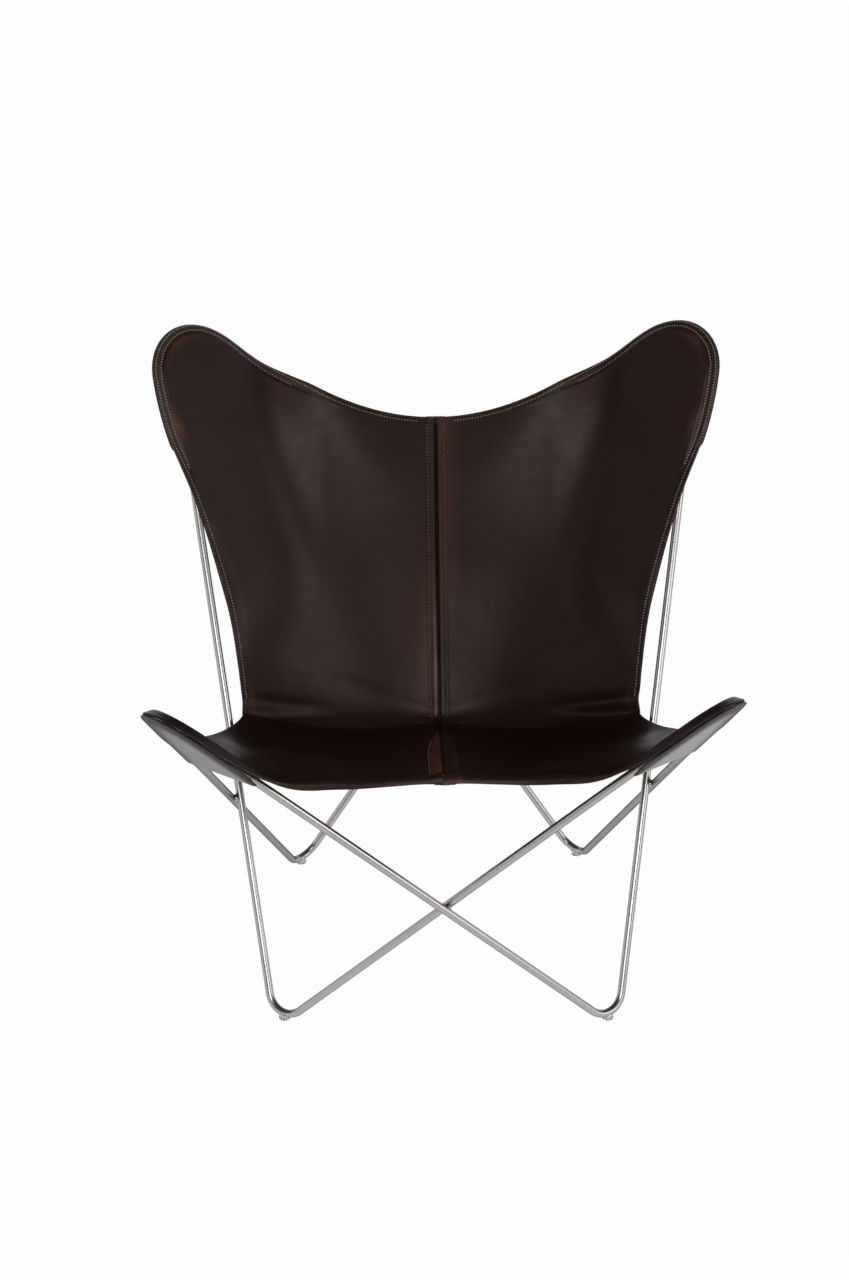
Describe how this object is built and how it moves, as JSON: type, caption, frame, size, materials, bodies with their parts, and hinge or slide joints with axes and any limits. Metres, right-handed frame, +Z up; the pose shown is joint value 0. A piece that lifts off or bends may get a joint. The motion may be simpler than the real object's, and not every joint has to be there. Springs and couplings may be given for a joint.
{
  "type": "butterfly sling chair",
  "caption": "Low lounge chair: a leather sling, sewn from two panels, hung by corner pockets on crossed welded loops of round steel rod.",
  "frame": {"origin": "on the floor, below the middle of the chair's box", "axes": "+Z up, the sitter faces -Y, the chair's left as seen from its front is -X"},
  "size_m": [0.8754, 0.7756, 0.9065],
  "materials": {
    "rod": "satin",
    "leather": "semi-gloss",
    "lining": "matte",
    "glide": "clear, gloss"
  },
  "bodies": {
    "root": {"back_left_pocket": "lining", "back_right_pocket": "lining", "front_left_glide": "glide", "front_left_pocket": "lining", "front_right_glide": "glide", "front_right_pocket": "lining", "front_weld": "rod", "left_panel": "leather", "left_weld": "rod", "loop_a_back_left_top": "rod", "loop_a_front_left_foot": "rod", "loop_a_front_right_tip": "rod", "loop_a_front_run": "rod", "loop_a_left_run": "rod", "loop_a_rear_right_foot": "rod", "loop_a_rear_run": "rod", "loop_a_right_run": "rod", "loop_b_back_right_top": "rod", "loop_b_front_left_tip": "rod", "loop_b_front_right_foot": "rod", "loop_b_front_run": "rod", "loop_b_left_run": "rod", "loop_b_rear_left_foot": "rod", "loop_b_rear_run": "rod", "loop_b_right_run": "rod", "rear_left_glide": "glide", "rear_right_glide": "glide", "rear_weld": "rod", "right_panel": "leather", "right_weld": "rod", "seam_backing": "lining"}
  },
  "joints": []
}
